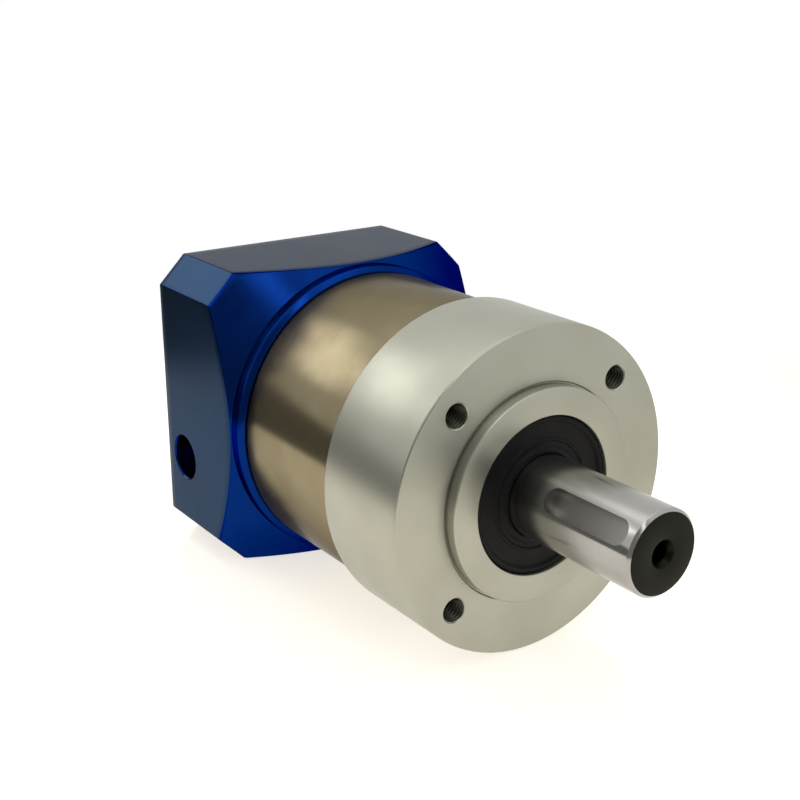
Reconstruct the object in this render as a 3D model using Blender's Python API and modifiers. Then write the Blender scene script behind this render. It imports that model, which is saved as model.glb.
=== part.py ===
"""Inline planetary gear reducer, 80 mm frame size, 5 to 1.

Every part is turned about the gear axis. The reducer is laid out along its own +Z, from the
output flange's face (height 0) back to the motor face, and an empty lays it down so that the
output shaft points along world +X and the origin is the middle of its length.
"""

from math import acos, asin, cos, hypot, pi, radians, sin, sqrt, tan, tau

import bmesh
import bpy
from mathutils import Matrix, Vector

MM = 0.001
WELD = 1e-6

# Overall layout, heights measured from the output flange's face (mm)
SHAFT_END = 40.0
MOTOR_FACE = -110.0
HOUSING_REAR = -27.85
RING_GEAR_FRONT = -28.15
RING_GEAR_REAR = -67.85
MOTOR_FLANGE_FRONT = -68.15

# Output housing and pilot
FLANGE_RADIUS = 40.0
FLANGE_CHAMFER = 0.8
PILOT_RADIUS = 26.0
PILOT_HEIGHT = 3.0
OUTPUT_HOLE_CIRCLE = 33.0
OUTPUT_HOLE_RADIUS = 2.5
OUTPUT_HOLE_DEPTH = 14.0
SPIGOT_RADIUS = 30.6
SPIGOT_SEAT_RADIUS = 30.9
FRONT_SPIGOT_END = -36.4
FRONT_COUNTERBORE_END = -37.2
REAR_SPIGOT_END = -63.3
REAR_COUNTERBORE_END = -63.0

# Output shaft and carrier
SHAFT_RADIUS = 10.0
JOURNAL_RADIUS = 12.5
JOURNAL_FRONT = -3.4
KEYWAY_WIDTH = 6.0
KEYWAY_DEPTH = 3.5
KEYWAY_BACK = 12.5
KEYWAY_FRONT = 37.5
KEYWAY_ANGLE = radians(237)
CARRIER_RADIUS = 27.0
CARRIER_FRONT = -37.1
POCKET_FRONT = -41.3
POCKET_REAR = -62.3
CARRIER_REAR = -66.3
CARRIER_BORE = 9.0

# Gears
MODULE = 1.2
PRESSURE_ANGLE = radians(25)
SUN_TEETH = 12
PLANET_TEETH = 18
RING_TEETH = 48
PLANET_COUNT = 3
ADDENDUM = 1.0 * MODULE
DEDENDUM = 1.25 * MODULE
FLANK_CLEARANCE = 0.05
PLANET_ORBIT = MODULE * (SUN_TEETH + PLANET_TEETH) / 2
RING_GEAR_RADIUS = 38.0
PLANET_BORE = 5.5
PLANET_FRONT = -42.1
PLANET_REAR = -61.5
PIN_RADIUS = 4.0

# Motor flange
SQUARE_HALF = 40.0
CORNER_CHAMFER = 7.5
NECK_RADIUS = 39.7
NECK_REAR = -72.6
CORNER_FRONT = -81.4
CAVITY_RADIUS = 28.0
CAVITY_FRONT = -88.0
MOTOR_PILOT_RADIUS = 35.0
MOTOR_PILOT_DEPTH = 2.5
MOTOR_HOLE_CIRCLE = 45.0
MOTOR_HOLE_DEPTH = 18.0
ACCESS_RADIUS = 6.0
ACCESS_HEIGHT = -100.0
CLAMP_SCREW_OFFSET = 14.4

# Tie screws
TIE_CIRCLE = 34.0
TIE_RADIUS = 1.95
TIE_SEAT = -92.0
TIE_TIP = -14.0
TIE_HEAD_RADIUS = 3.5
TIE_HEAD_HEIGHT = 4.0

# Input hub and clamp ring
HUB_FRONT = -68.9
HUB_REAR = -106.5
HUB_CLAMP_RADIUS = 11.0
MOTOR_SHAFT_RADIUS = 7.0
CLAMP_RADIUS = 20.0
CLAMP_FRONT = -94.0
CLAMP_REAR = -106.0

# Facets round a full circle
FINE = 36
MEDIUM = 24
COARSE = 20
SMALL = 12


# ---------------------------------------------------------------- building tools

def start_clean():
    """Remove whatever is in the open scene."""
    for obj in list(bpy.data.objects):
        bpy.data.objects.remove(obj, do_unlink=True)


def new_collection(name):
    """Make a collection in the scene."""
    collection = bpy.data.collections.new(name)
    bpy.context.scene.collection.children.link(collection)
    return collection


def new_material(name, colour, roughness, metallic):
    """Make a plain Principled material."""
    material = bpy.data.materials.new(name)
    material.use_nodes = True
    shader = material.node_tree.nodes["Principled BSDF"]
    shader.inputs["Base Color"].default_value = (*colour, 1.0)
    shader.inputs["Roughness"].default_value = roughness
    shader.inputs["Metallic"].default_value = metallic
    return material


def mesh_from_bmesh(name, shape):
    """Turn a bmesh into a named mesh."""
    mesh = bpy.data.meshes.new(name)
    shape.to_mesh(mesh)
    shape.free()
    return mesh


def profile_mesh(name, points, closed):
    """A line of (radius, height) points in mm, for a Screw modifier."""
    shape = bmesh.new()
    verts = [shape.verts.new((radius * MM, 0.0, height * MM)) for radius, height in points]
    for first, second in zip(verts, verts[1:]):
        shape.edges.new((first, second))
    if closed:
        shape.edges.new((verts[-1], verts[0]))
    return mesh_from_bmesh(name, shape)


def add_screw(obj, segments):
    """Turn an object's profile once round its own Z."""
    screw = obj.modifiers.new("turned", "SCREW")
    screw.axis = "Z"
    screw.steps = segments
    screw.render_steps = segments
    screw.use_merge_vertices = True
    screw.merge_threshold = WELD
    screw.use_smooth_shade = False


def cylinder_mesh(name, radius, bottom, top, segments):
    """A capped cylinder between two heights."""
    shape = bmesh.new()
    bmesh.ops.create_cone(
        shape, cap_ends=True, segments=segments, radius1=radius * MM, radius2=radius * MM,
        depth=(top - bottom) * MM, matrix=Matrix.Translation((0, 0, (top + bottom) / 2 * MM)))
    return mesh_from_bmesh(name, shape)


def box_mesh(name, low, high):
    """A box between two corners."""
    low = Vector(low) * MM
    high = Vector(high) * MM
    shape = bmesh.new()
    bmesh.ops.create_cube(shape, size=1.0)
    bmesh.ops.scale(shape, vec=high - low, verts=shape.verts)
    bmesh.ops.translate(shape, vec=(high + low) / 2, verts=shape.verts)
    return mesh_from_bmesh(name, shape)


def prism_mesh(name, outlines, bottom, top):
    """An extruded flat outline, holes included, between two heights."""
    curve = bpy.data.curves.new(name, "CURVE")
    curve.dimensions = "2D"
    curve.fill_mode = "BOTH"
    curve.extrude = (top - bottom) / 2 * MM
    for outline in outlines:
        spline = curve.splines.new("POLY")
        spline.points.add(len(outline) - 1)
        for point, (x, y) in zip(spline.points, outline):
            point.co = (x * MM, y * MM, 0.0, 1.0)
        spline.use_cyclic_u = True
    guide = bpy.data.objects.new(name + "_outline", curve)
    bpy.context.scene.collection.objects.link(guide)
    evaluated = guide.evaluated_get(bpy.context.evaluated_depsgraph_get())
    mesh = bpy.data.meshes.new_from_object(evaluated)
    mesh.name = name
    bpy.data.objects.remove(guide, do_unlink=True)
    bpy.data.curves.remove(curve)
    shape = bmesh.new()
    shape.from_mesh(mesh)
    bmesh.ops.remove_doubles(shape, verts=shape.verts, dist=WELD)
    bmesh.ops.translate(shape, vec=(0, 0, (top + bottom) / 2 * MM), verts=shape.verts)
    bmesh.ops.recalc_face_normals(shape, faces=shape.faces)
    shape.to_mesh(mesh)
    shape.free()
    return mesh


class Builder:
    """Places parts and cutters in their collections, under the reducer's empty."""

    def __init__(self):
        self.parts = new_collection("gear_reducer")
        self.cutters = new_collection("cutters")
        self.axis = bpy.data.objects.new("gear_axis", None)
        self.parts.objects.link(self.axis)
        middle = (SHAFT_END + MOTOR_FACE) / 2
        self.axis.location = (-middle * MM, 0.0, 0.0)
        self.axis.rotation_euler = (0.0, pi / 2, 0.0)

    def part(self, name, mesh, material, place=(0, 0, 0), turn=0.0):
        """Add a part at a place in mm, turned about the gear axis."""
        obj = bpy.data.objects.new(name, mesh)
        self.parts.objects.link(obj)
        obj.parent = self.axis
        obj.location = Vector(place) * MM
        obj.rotation_euler = (0.0, 0.0, turn)
        if not mesh.materials:
            mesh.materials.append(material)
        return obj

    def turned(self, name, points, material, segments, closed=True, place=(0, 0, 0)):
        """Add a part turned from a profile."""
        obj = self.part(name, profile_mesh(name, points, closed), material, place)
        add_screw(obj, segments)
        return obj

    def cutter(self, mesh, place=(0, 0, 0), rotation=(0, 0, 0)):
        """Add a cutter, which isn't a part."""
        obj = bpy.data.objects.new(mesh.name, mesh)
        self.cutters.objects.link(obj)
        obj.parent = self.axis
        obj.location = Vector(place) * MM
        obj.rotation_euler = rotation
        obj.hide_render = True
        obj.display_type = "WIRE"
        return obj


def boolean(obj, tool, operation="DIFFERENCE"):
    """Cut, join or intersect a part with another object."""
    modifier = obj.modifiers.new(tool.name, "BOOLEAN")
    modifier.operation = operation
    modifier.solver = "EXACT"
    modifier.object = tool


def polar(radius, angle, height=0.0):
    """A point on a circle round the gear axis."""
    return (radius * cos(angle), radius * sin(angle), height)


def circle(radius, segments):
    """The outline of a round hole or boss."""
    return [polar(radius, tau * step / segments)[:2] for step in range(segments)]


def involute(angle):
    """The involute function."""
    return tan(angle) - angle


def tooth_outline(teeth, tip, root, clearance):
    """A closed tooth outline with a tooth centred on +X; clearance thins each flank."""
    pitch = MODULE * teeth / 2
    rising = (root, pitch, tip)
    base = pitch * cos(PRESSURE_ANGLE)
    half_at_pitch = pi / (2 * teeth) - clearance / pitch

    def half_angle(radius):
        pressure = acos(min(1.0, base / radius))
        return half_at_pitch + involute(PRESSURE_ANGLE) - involute(pressure)

    outline = []
    for tooth in range(teeth):
        middle = tau * tooth / teeth
        for radius in rising:
            outline.append(polar(radius, middle - half_angle(radius))[:2])
        for radius in reversed(rising):
            outline.append(polar(radius, middle + half_angle(radius))[:2])
    return outline


def planet_angle(index):
    """Where a planet sits round the gear axis at rest; the first lines up with the keyway."""
    return KEYWAY_ANGLE + tau * index / PLANET_COUNT


def planet_turn(index):
    """A planet's own turn at rest, in mesh with the sun's tooth and the ring's tooth."""
    angle = planet_angle(index)
    sun_phase = SUN_TEETH * (angle - KEYWAY_ANGLE)
    return angle + pi + (sun_phase - pi) / PLANET_TEETH


def make_planets(builder, metals):
    """Three planet gears with their bushes, pins and thrust washers."""
    pitch = MODULE * PLANET_TEETH / 2
    outline = tooth_outline(PLANET_TEETH, pitch + ADDENDUM, pitch - DEDENDUM, FLANK_CLEARANCE)
    middle = (PLANET_FRONT + PLANET_REAR) / 2
    half = (PLANET_FRONT - PLANET_REAR) / 2
    gear = prism_mesh("planet_gear", [outline, circle(PLANET_BORE, COARSE)], -half, half)
    bush = [(5.3, half), (5.3, -half), (4.25, -half), (4.25, half)]
    washer_thickness = 0.5
    washer_gap = 0.2
    washer = [(8.0, washer_thickness), (8.0, 0.0), (4.35, 0.0), (4.35, washer_thickness)]
    pin_rear = CARRIER_REAR + 0.3
    pin = cylinder_mesh("planet_pin", PIN_RADIUS, pin_rear, POCKET_FRONT + 1.8, SMALL)
    for index in range(PLANET_COUNT):
        number = index + 1
        spot = polar(PLANET_ORBIT, planet_angle(index), middle)
        builder.part(f"planet_gear_{number}", gear, metals["gear_steel"], spot, planet_turn(index))
        builder.turned(f"planet_bush_{number}", bush, metals["bronze"], COARSE, place=spot)
        centre = polar(PLANET_ORBIT, planet_angle(index))
        builder.part(f"planet_pin_{number}", pin, metals["bearing_steel"], centre)
        front = (centre[0], centre[1], PLANET_FRONT + washer_gap)
        rear = (centre[0], centre[1], PLANET_REAR - washer_gap - washer_thickness)
        builder.turned(f"thrust_washer_front_{number}", washer, metals["bronze"], SMALL, place=front)
        builder.turned(f"thrust_washer_rear_{number}", washer, metals["bronze"], SMALL, place=rear)


def make_sun(builder, metals):
    """The sun pinion, with a plain shank behind its teeth."""
    pitch = MODULE * SUN_TEETH / 2
    root = pitch - DEDENDUM
    outline = tooth_outline(SUN_TEETH, pitch + ADDENDUM, root, FLANK_CLEARANCE)
    teeth = prism_mesh("sun_gear", [outline], POCKET_REAR - 4.2, PLANET_FRONT)
    sun = builder.part("sun_gear", teeth, metals["gear_steel"], turn=KEYWAY_ANGLE)
    shank = cylinder_mesh("sun_shank", root - 0.2, HUB_FRONT - 9.0, POCKET_REAR, COARSE)
    boolean(sun, builder.cutter(shank), "UNION")


def make_ring_gear(builder, metals):
    """The ring gear, which is also the middle of the casing."""
    pitch = MODULE * RING_TEETH / 2
    chamfer = 0.4
    blank = [
        (RING_GEAR_RADIUS - chamfer, RING_GEAR_FRONT),
        (RING_GEAR_RADIUS, RING_GEAR_FRONT - chamfer),
        (RING_GEAR_RADIUS, RING_GEAR_REAR + chamfer),
        (RING_GEAR_RADIUS - chamfer, RING_GEAR_REAR),
        (SPIGOT_SEAT_RADIUS, RING_GEAR_REAR),
        (SPIGOT_SEAT_RADIUS, REAR_COUNTERBORE_END),
        (pitch - ADDENDUM, REAR_COUNTERBORE_END),
        (pitch - ADDENDUM, FRONT_COUNTERBORE_END),
        (SPIGOT_SEAT_RADIUS, FRONT_COUNTERBORE_END),
        (SPIGOT_SEAT_RADIUS, RING_GEAR_FRONT),
    ]
    ring = builder.turned("ring_gear", blank, metals["ring_steel"], FINE)
    spaces = tooth_outline(RING_TEETH, pitch + DEDENDUM, pitch - ADDENDUM - 0.5, -FLANK_CLEARANCE)
    tool = prism_mesh("ring_teeth", [spaces], REAR_COUNTERBORE_END - 0.5, FRONT_COUNTERBORE_END + 0.5)
    phase = KEYWAY_ANGLE - pi / RING_TEETH
    boolean(ring, builder.cutter(tool, rotation=(0, 0, phase)))
    for index in range(4):
        boolean(ring, tie_hole(builder, index))


def tie_hole(builder, index):
    """A cutter for one tie screw's long clearance hole."""
    mesh = cylinder_mesh(f"tie_hole_{index}", TIE_RADIUS + 0.25, TIE_SEAT - 1.0, TIE_TIP + 1.0, SMALL)
    return builder.cutter(mesh, polar(TIE_CIRCLE, tau * index / 4))


# ---------------------------------------------------------------- casings

def make_output_housing(builder, metals):
    """The output housing with its flange, pilot, bearing bore and mounting holes."""
    pilot_chamfer = 0.6
    seal_bore = 19.3
    lip_bore = 17.5
    bearing_bore = 23.8
    outside = [
        (0.0, PILOT_HEIGHT),
        (PILOT_RADIUS - pilot_chamfer, PILOT_HEIGHT),
        (PILOT_RADIUS, PILOT_HEIGHT - pilot_chamfer),
        (PILOT_RADIUS, 0.0),
        (FLANGE_RADIUS - FLANGE_CHAMFER, 0.0),
        (FLANGE_RADIUS, -FLANGE_CHAMFER),
        (FLANGE_RADIUS, HOUSING_REAR),
        (SPIGOT_RADIUS, HOUSING_REAR),
        (SPIGOT_RADIUS, -30.4),
        (28.8, -30.4),
        (28.8, -32.6),
        (SPIGOT_RADIUS, -32.6),
        (SPIGOT_RADIUS, FRONT_SPIGOT_END),
        (0.0, FRONT_SPIGOT_END),
    ]
    inside = [
        (0.0, PILOT_HEIGHT + 1.0),
        (seal_bore, PILOT_HEIGHT + 1.0),
        (seal_bore, -4.8),
        (lip_bore, -4.8),
        (lip_bore, -6.7),
        (bearing_bore, -6.7),
        (bearing_bore, -33.5),
        (24.9, -33.5),
        (24.9, -35.2),
        (bearing_bore, -35.2),
        (bearing_bore, FRONT_SPIGOT_END - 1.0),
        (0.0, FRONT_SPIGOT_END - 1.0),
    ]
    housing = builder.turned("output_housing", outside, metals["aluminium"], FINE, closed=False)
    bore = builder.cutter(profile_mesh("housing_bores", inside, False))
    add_screw(bore, MEDIUM)
    boolean(housing, bore)
    for index in range(4):
        mesh = cylinder_mesh(f"output_hole_{index}", OUTPUT_HOLE_RADIUS, -OUTPUT_HOLE_DEPTH, 1.0, SMALL)
        angle = tau * (index + 0.5) / 4
        boolean(housing, builder.cutter(mesh, polar(OUTPUT_HOLE_CIRCLE, angle)))
        boolean(housing, tie_hole(builder, index))


def square_outline():
    """The motor flange's square with its corners cut at 45 degrees."""
    inner = SQUARE_HALF - CORNER_CHAMFER
    quarter = [(SQUARE_HALF, -inner), (SQUARE_HALF, inner)]
    outline = []
    for x, y in quarter:
        outline.append((x, y))
    for turn in range(1, 4):
        spin = Matrix.Rotation(turn * pi / 2, 2)
        outline += [tuple(spin @ Vector(point)) for point in quarter]
    return outline


def make_motor_flange(builder, metals):
    """The blue motor flange: a square block with a turned neck and a conical front."""
    neck_chamfer = 0.8
    corner_reach = hypot(SQUARE_HALF, SQUARE_HALF - CORNER_CHAMFER)
    cone_slope = (NECK_REAR - CORNER_FRONT) / (corner_reach - NECK_RADIUS)
    beyond = SQUARE_HALF * 1.4
    front = [
        (0.0, REAR_SPIGOT_END),
        (SPIGOT_RADIUS, REAR_SPIGOT_END),
        (SPIGOT_RADIUS, -64.8),
        (28.8, -64.8),
        (28.8, -67.0),
        (SPIGOT_RADIUS, -67.0),
        (SPIGOT_RADIUS, MOTOR_FLANGE_FRONT),
        (NECK_RADIUS - neck_chamfer, MOTOR_FLANGE_FRONT),
        (NECK_RADIUS, MOTOR_FLANGE_FRONT - neck_chamfer),
        (NECK_RADIUS, NECK_REAR),
        (beyond, NECK_REAR - cone_slope * (beyond - NECK_RADIUS)),
        (beyond, MOTOR_FACE - 1.0),
        (0.0, MOTOR_FACE - 1.0),
    ]
    block = prism_mesh("motor_flange", [square_outline()], MOTOR_FACE, REAR_SPIGOT_END + 1.0)
    flange = builder.part("motor_flange", block, metals["anodised"])
    blank = builder.cutter(profile_mesh("flange_front", front, False))
    add_screw(blank, FINE)
    boolean(flange, blank, "INTERSECT")
    pilot_floor = MOTOR_FACE + MOTOR_PILOT_DEPTH
    bores = [
        (0.0, REAR_SPIGOT_END + 1.0),
        (27.7, REAR_SPIGOT_END + 1.0),
        (27.7, -69.0),
        (21.3, -69.0),
        (21.3, -69.5),
        (22.4, -69.5),
        (22.4, -71.1),
        (21.3, -71.1),
        (21.3, -80.6),
        (17.5, -80.6),
        (17.5, -81.8),
        (19.3, -81.8),
        (19.3, CAVITY_FRONT),
        (CAVITY_RADIUS, CAVITY_FRONT),
        (CAVITY_RADIUS, pilot_floor),
        (MOTOR_PILOT_RADIUS, pilot_floor),
        (MOTOR_PILOT_RADIUS, MOTOR_FACE - 1.0),
        (0.0, MOTOR_FACE - 1.0),
    ]
    bore = builder.cutter(profile_mesh("flange_bores", bores, False))
    add_screw(bore, MEDIUM)
    boolean(flange, bore)
    access = cylinder_mesh("access_hole", ACCESS_RADIUS, CAVITY_RADIUS - 8.0, SQUARE_HALF + 1.0, COARSE)
    spot = (CLAMP_SCREW_OFFSET, 0.0, ACCESS_HEIGHT)
    boolean(flange, builder.cutter(access, spot, (pi / 2, 0, 0)))
    for index in range(4):
        tapped = cylinder_mesh(f"motor_hole_{index}", OUTPUT_HOLE_RADIUS, MOTOR_FACE - 1.0,
                               MOTOR_FACE + MOTOR_HOLE_DEPTH, SMALL)
        angle = tau * (index + 0.5) / 4
        boolean(flange, builder.cutter(tapped, polar(MOTOR_HOLE_CIRCLE, angle)))
        boolean(flange, tie_hole(builder, index))
        sunk = cylinder_mesh(f"tie_counterbore_{index}", TIE_HEAD_RADIUS + 0.3, MOTOR_FACE - 1.0,
                             TIE_SEAT - 0.3, SMALL)
        boolean(flange, builder.cutter(sunk, polar(TIE_CIRCLE, tau * index / 4)))


# ---------------------------------------------------------------- output shaft

def slot_outline(length, width, steps):
    """A slot with round ends, along X."""
    radius = width / 2
    reach = length / 2 - radius
    outline = []
    for side, start in ((1, -pi / 2), (-1, pi / 2)):
        for step in range(steps + 1):
            angle = start + pi * step / steps
            outline.append((side * reach + radius * cos(angle), radius * sin(angle)))
    return outline


def make_output_shaft(builder, metals):
    """The output shaft and planet carrier, one piece."""
    centre_hole = 2.5
    countersink = 3.3
    edge = 0.7
    points = [
        (0.0, 24.6),
        (centre_hole, 26.0),
        (centre_hole, SHAFT_END - 1.4),
        (countersink, SHAFT_END),
        (SHAFT_RADIUS - edge, SHAFT_END),
        (SHAFT_RADIUS, SHAFT_END - edge),
        (SHAFT_RADIUS, JOURNAL_FRONT),
        (JOURNAL_RADIUS - 0.4, JOURNAL_FRONT),
        (JOURNAL_RADIUS, JOURNAL_FRONT - 0.4),
        (JOURNAL_RADIUS, -5.3),
        (11.8, -5.3),
        (11.8, -6.85),
        (JOURNAL_RADIUS, -6.85),
        (JOURNAL_RADIUS, -33.3),
        (14.6, -33.3),
        (14.6, CARRIER_FRONT),
        (CARRIER_RADIUS, CARRIER_FRONT),
        (CARRIER_RADIUS, CARRIER_REAR),
        (CARRIER_BORE, CARRIER_REAR),
        (CARRIER_BORE, POCKET_FRONT),
        (0.0, POCKET_FRONT),
    ]
    shaft = builder.turned("output_shaft", points, metals["shaft_steel"], MEDIUM, closed=False)
    pocket_radius = MODULE * PLANET_TEETH / 2 + ADDENDUM + 0.6
    pocket = cylinder_mesh("planet_pocket", pocket_radius, POCKET_REAR, POCKET_FRONT, COARSE)
    pin_hole = cylinder_mesh("pin_hole", PIN_RADIUS + 0.2, CARRIER_REAR - 1.0, POCKET_FRONT + 2.0, COARSE)
    for index in range(PLANET_COUNT):
        centre = polar(PLANET_ORBIT, planet_angle(index))
        boolean(shaft, builder.cutter(pocket, centre))
        boolean(shaft, builder.cutter(pin_hole, centre))
    length = KEYWAY_FRONT - KEYWAY_BACK
    floor = SHAFT_RADIUS - KEYWAY_DEPTH
    slot = prism_mesh("keyway", [slot_outline(length, KEYWAY_WIDTH, 8)], floor, SHAFT_RADIUS + 1.0)
    middle = (KEYWAY_FRONT + KEYWAY_BACK) / 2
    boolean(shaft, builder.cutter(slot, (0, 0, middle), (0, pi / 2, KEYWAY_ANGLE)))


# ---------------------------------------------------------------- bearings, seals and rings

def race_points(inner, outer, groove, rear, front, groove_half):
    """A bearing race's section; the groove lies on the outer side when its radius is nearer there."""
    middle = (rear + front) / 2
    shallow = groove_half * 2.0
    if groove > (inner + outer) / 2:
        return [(outer, front), (outer, middle + shallow), (groove, middle + groove_half),
                (groove, middle - groove_half), (outer, middle - shallow), (outer, rear),
                (inner, rear), (inner, front)]
    return [(outer, front), (outer, rear), (inner, rear), (inner, middle - shallow),
            (groove, middle - groove_half), (groove, middle + groove_half),
            (inner, middle + shallow), (inner, front)]


def make_bearing(builder, metals, name, front, width, size, balls, ball_radius):
    """A deep groove ball bearing: two races and the balls in their cage."""
    bore, outside = size
    rear = front - width
    section = (outside - bore) / 2
    orbit = (bore + outside) / 2
    land = section * 0.42
    groove = ball_radius + 0.3
    inner = race_points(bore + 0.25, orbit - land, orbit - groove, rear, front, 1.1)
    outer = race_points(orbit + land, outside, orbit + groove, rear, front, 1.1)
    builder.turned(name + "_inner", inner, metals["bearing_steel"], COARSE)
    builder.turned(name + "_outer", outer, metals["bearing_steel"], COARSE)
    middle = (rear + front) / 2
    half_width = width * 0.3
    cage = [(orbit + 0.7, half_width), (orbit + 0.7, -half_width),
            (orbit - 0.7, -half_width), (orbit - 0.7, half_width)]
    ring = builder.turned(name + "_balls", cage, metals["cage"], COARSE, place=(0, 0, middle))
    shape = bmesh.new()
    for index in range(balls):
        spot = Vector(polar(orbit, tau * (index + 0.5) / balls)) * MM
        bmesh.ops.create_icosphere(shape, subdivisions=1, radius=ball_radius * MM,
                                   matrix=Matrix.Translation(spot))
    set_of_balls = mesh_from_bmesh(name + "_ball_set", shape)
    boolean(ring, builder.cutter(set_of_balls, (0, 0, middle)), "UNION")


def circlip_outline(inner, outer, opening, lug_reach, lug_width):
    """A C ring whose two ends widen into lugs, towards the inside when lug_reach is below inner."""
    half_gap = opening / 2
    lug = half_gap + lug_width
    inward = lug_reach < inner
    outer_path = [(outer, half_gap)] if inward else [(lug_reach, half_gap), (lug_reach, lug), (outer, lug)]
    inner_path = [(lug_reach, half_gap), (lug_reach, lug), (inner, lug)] if inward else [(inner, half_gap)]
    start = asin(outer_path[-1][1] / outer)
    arcs = [polar(outer, start + (tau - 2 * start) * step / COARSE)[:2] for step in range(1, COARSE)]
    stop = asin(inner_path[-1][1] / inner)
    back = [polar(inner, tau - stop - (tau - 2 * stop) * step / COARSE)[:2] for step in range(1, COARSE)]
    top = [(sqrt(r * r - y * y), y) for r, y in outer_path]
    low = [(sqrt(r * r - y * y), y) for r, y in inner_path]
    mirrored_top = [(x, -y) for x, y in reversed(top)]
    mirrored_low = [(x, -y) for x, y in low]
    return top + arcs + mirrored_top + mirrored_low + back + list(reversed(low))


def make_circlips(builder, metals):
    """Two circlips in bores and two on shafts."""
    in_bore = circlip_outline(21.9, 24.5, 7.0, 19.2, 2.6)
    clip = prism_mesh("housing_circlip", [in_bore], -34.9, -33.7)
    builder.part("housing_circlip", clip, metals["spring_steel"], turn=radians(45))
    in_flange = circlip_outline(19.6, 22.0, 6.0, 17.2, 2.4)
    clip = prism_mesh("flange_circlip", [in_flange], -70.9, -69.7)
    builder.part("flange_circlip", clip, metals["spring_steel"], turn=radians(45))
    on_shaft = circlip_outline(12.05, 14.0, 5.0, 16.0, 2.2)
    clip = prism_mesh("shaft_circlip", [on_shaft], -6.65, -5.5)
    builder.part("shaft_circlip", clip, metals["spring_steel"], turn=KEYWAY_ANGLE)
    on_hub = circlip_outline(12.05, 14.0, 5.0, 15.8, 2.2)
    clip = prism_mesh("hub_circlip", [on_hub], -71.05, -69.95)
    builder.part("hub_circlip", clip, metals["spring_steel"], turn=KEYWAY_ANGLE)


def make_seal(builder, metals, name, front, rear, running_radius):
    """A radial shaft seal: a rim that presses into its bore and a lip round the running surface."""
    inwards = 1 if front > rear else -1
    back_of_lip = running_radius + 2.1
    points = [
        (19.0, front),
        (19.0, rear),
        (17.2, rear),
        (17.2, front - 1.9 * inwards),
        (back_of_lip, front - 1.9 * inwards),
        (back_of_lip, front - 4.6 * inwards),
        (running_radius + 0.15, front - 3.6 * inwards),
        (running_radius + 0.45, front),
    ]
    if inwards < 0:
        points.reverse()
    builder.turned(name, points, metals["rubber"], MEDIUM)


def make_rings(builder, metals):
    """Spacer rings between the output bearings, and two O-rings."""
    front = -19.15
    rear = -20.85
    outer = [(23.4, front), (23.4, rear), (20.6, rear), (20.6, front)]
    builder.turned("outer_spacer_ring", outer, metals["shaft_steel"], COARSE)
    inner = [(15.2, front), (15.2, rear), (12.75, rear), (12.75, front)]
    builder.turned("inner_spacer_ring", inner, metals["shaft_steel"], COARSE)
    section_radius = 0.75
    sides = 4
    for name, middle in (("o_ring_front", -31.5), ("o_ring_rear", -65.9)):
        points = [(29.95 + section_radius * sin(tau * side / sides),
                   middle + section_radius * cos(tau * side / sides)) for side in range(sides)]
        builder.turned(name, points, metals["rubber"], COARSE)


# ---------------------------------------------------------------- input side and screws

def make_input_hub(builder, metals):
    """The input hub: journal, circlip groove and slit clamping sleeve."""
    sun_bore = 5.8
    web_front = HUB_FRONT - 9.4
    motor_bore_front = MOTOR_FACE + 30.3
    points = [
        (JOURNAL_RADIUS, HUB_FRONT),
        (JOURNAL_RADIUS, -69.85),
        (11.8, -69.85),
        (11.8, -71.15),
        (JOURNAL_RADIUS, -71.15),
        (JOURNAL_RADIUS, -80.6),
        (14.0, -80.6),
        (14.0, -81.7),
        (JOURNAL_RADIUS, -81.7),
        (JOURNAL_RADIUS, -88.6),
        (HUB_CLAMP_RADIUS, -88.6),
        (HUB_CLAMP_RADIUS, HUB_REAR),
        (MOTOR_SHAFT_RADIUS + 0.6, HUB_REAR),
        (MOTOR_SHAFT_RADIUS, HUB_REAR + 0.6),
        (MOTOR_SHAFT_RADIUS, motor_bore_front),
        (0.0, motor_bore_front),
    ]
    sleeve = [(0.0, web_front), (sun_bore, web_front), (sun_bore, HUB_FRONT), *points]
    hub = builder.turned("input_hub", sleeve, metals["shaft_steel"], MEDIUM, closed=False)
    slit_half = 0.6
    reach = HUB_CLAMP_RADIUS + 1.0
    slit = box_mesh("hub_slit", (-reach, -slit_half, HUB_REAR - 1.0), (reach, slit_half, -92.0))
    for turn in (pi / 4, 3 * pi / 4):
        boolean(hub, builder.cutter(slit, rotation=(0, 0, turn)))


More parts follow.
